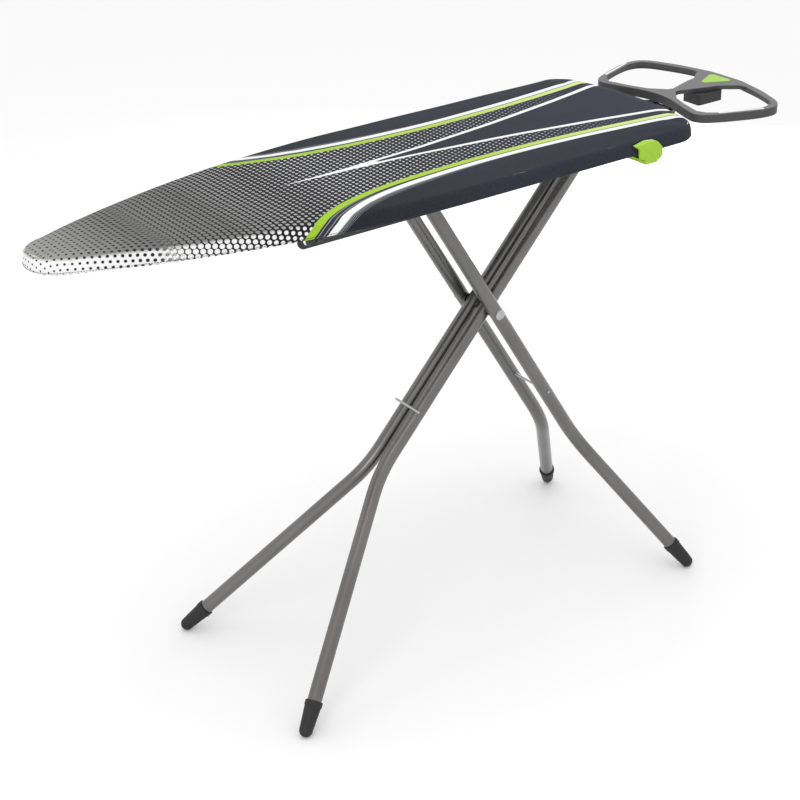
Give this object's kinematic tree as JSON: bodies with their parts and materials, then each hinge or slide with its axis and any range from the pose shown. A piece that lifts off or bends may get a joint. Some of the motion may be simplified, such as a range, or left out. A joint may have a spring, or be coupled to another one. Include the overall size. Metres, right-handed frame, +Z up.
{
  "type": "ironing board",
  "caption": "Folding ironing board: padded printed top on a steel frame, framed iron rest at the tail, side release lever and two crossed splayed leg frames with rubber feet.",
  "frame": {"origin": "on the floor under the middle of the object's length and width, with the board at full height", "axes": "+X along the board from its nose to the iron rest, +Y across the board with the release lever on -Y, +Z up"},
  "size_m": [1.4729, 0.45, 0.922],
  "materials": {
    "cover_fabric": "woven cotton, printed, matte",
    "felt": "felt and foam underlay",
    "sheet_steel": "perforated, satin grey paint",
    "frame_paint": "graphite metallic powder coat",
    "zinc_steel": "zinc plated",
    "rest_plastic": "metallic grey heat-resistant plastic",
    "black_plastic": "satin black",
    "green_plastic": "smooth lime green",
    "white_silicone": "soft white",
    "foot_rubber": "black rubber"
  },
  "bodies": {
    "board": {"cover": "cover_fabric", "underlay_pad": "felt", "top_sheet": "sheet_steel", "rim_frame": "frame_paint", "guide_rail_far": "zinc_steel", "guide_rail_near": "zinc_steel", "hinge_bracket": "zinc_steel", "hinge_axle": "zinc_steel", "shaft_clips": "black_plastic", "iron_rest": "rest_plastic", "rest_socket": "black_plastic", "rest_badge": "green_plastic", "rest_strips": "white_silicone", "rest_holder": "black_plastic", "rest_wire": "frame_paint", "wire_saddles": "black_plastic", "wire_clips": "black_plastic", "clip_screws": "zinc_steel", "lever_spring": "zinc_steel", "cross_rib_nose": "frame_paint", "cross_rib_rail_start": "frame_paint", "cross_rib_rail_middle": "frame_paint", "cross_rib_rail_end": "frame_paint", "cross_rib_hinge": "frame_paint", "cross_rib_tail": "frame_paint"},
    "inner_legs": {"inner_tube_far": "frame_paint", "inner_tube_near": "frame_paint", "inner_foot_far": "foot_rubber", "inner_foot_near": "foot_rubber", "hinge_sleeve": "frame_paint", "inner_plugs": "black_plastic", "inner_wire_rod": "zinc_steel", "pivot_spacer": "black_plastic"},
    "outer_legs": {"outer_tube_far": "frame_paint", "outer_tube_near": "frame_paint", "outer_foot_far": "foot_rubber", "outer_foot_near": "foot_rubber", "slide_bar": "zinc_steel", "slide_shoes": "black_plastic", "outer_plugs": "black_plastic", "outer_wire_rod": "zinc_steel", "pivot_washers": "black_plastic", "pivot_axle": "zinc_steel"},
    "release": {"lever_handle": "green_plastic", "lever_shaft": "zinc_steel", "lock_bar": "zinc_steel"}
  },
  "joints": [
    {"name": "legs_fold", "type": "hinge", "parent": "board", "child": "inner_legs", "pos_m": [0.3745, 0, 0.866], "axis": [0, 1, 0], "range_deg": [0, 45.4]},
    {"name": "legs_cross", "type": "hinge", "parent": "inner_legs", "child": "outer_legs", "pos_m": [0.12956, 0, 0.6], "axis": [0, -1, 0], "range_deg": [0, 101.2]},
    {"name": "lever_release", "type": "hinge", "parent": "board", "child": "release", "pos_m": [0.3745, -0.12909, 0.878], "axis": [1, 0, 0], "range_deg": [0, 12], "stiffness_Nm_per_rad": 1.2, "springref_deg": -8.59}
  ],
  "couplings": [
    {"joint": "legs_cross", "follows": "legs_fold", "ratio": 2.2268}
  ]
}
